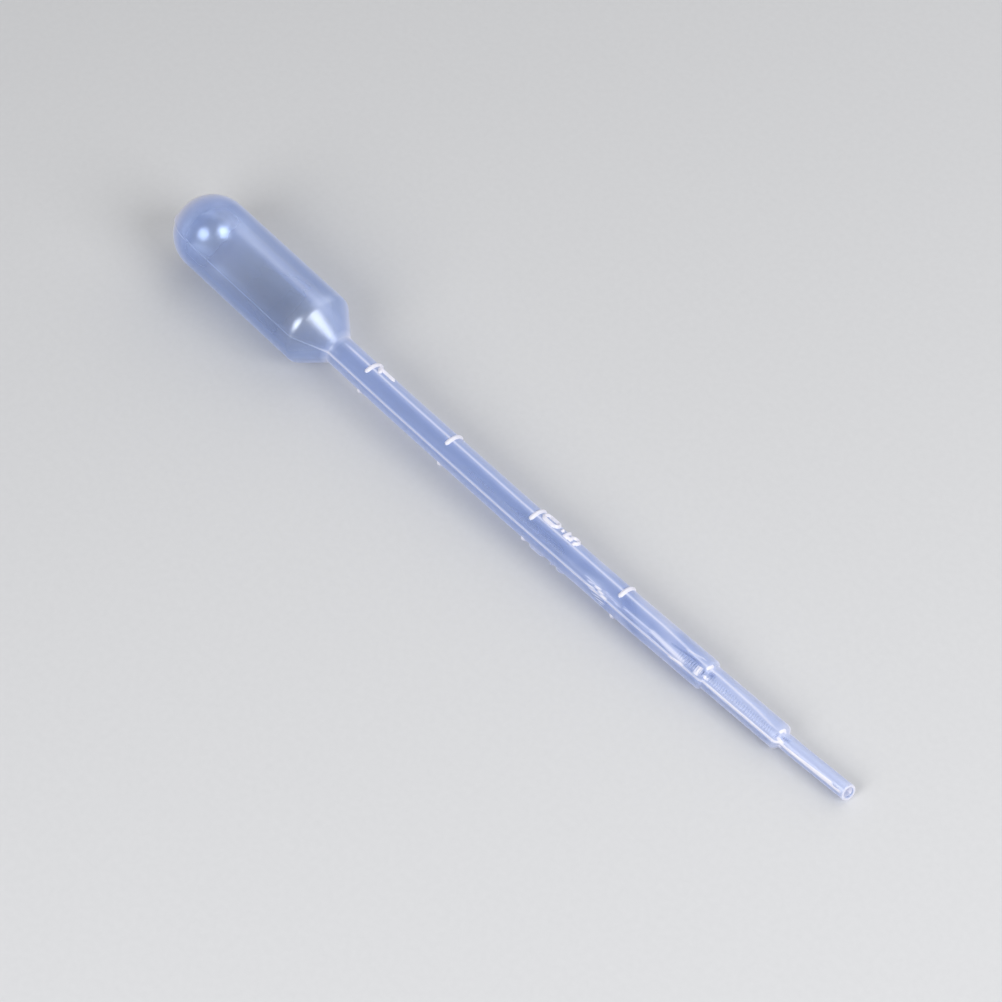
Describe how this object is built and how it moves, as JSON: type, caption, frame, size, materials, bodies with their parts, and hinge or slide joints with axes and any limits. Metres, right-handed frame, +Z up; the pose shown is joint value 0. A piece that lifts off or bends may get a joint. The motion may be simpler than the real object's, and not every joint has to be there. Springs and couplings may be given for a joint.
{
  "type": "dropper pipette",
  "caption": "Moulded plastic dropper pipette with a squeeze bulb, a long graduated stem and a stepped fine tip, lying on its side.",
  "frame": {"origin": "middle of the bounding box's base, on the surface that the pipette lies on", "axes": "+X along the length, from the bulb to the open tip; +Z up, away from the surface it lies on; the slight bow of the stem is towards +Y"},
  "size_m": [0.152, 0.0134, 0.0148],
  "materials": {
    "pipette_plastic": "translucent, undyed low-density polyethylene, satin gloss"
  },
  "bodies": {
    "root": {"pipette": "pipette_plastic"}
  },
  "joints": []
}
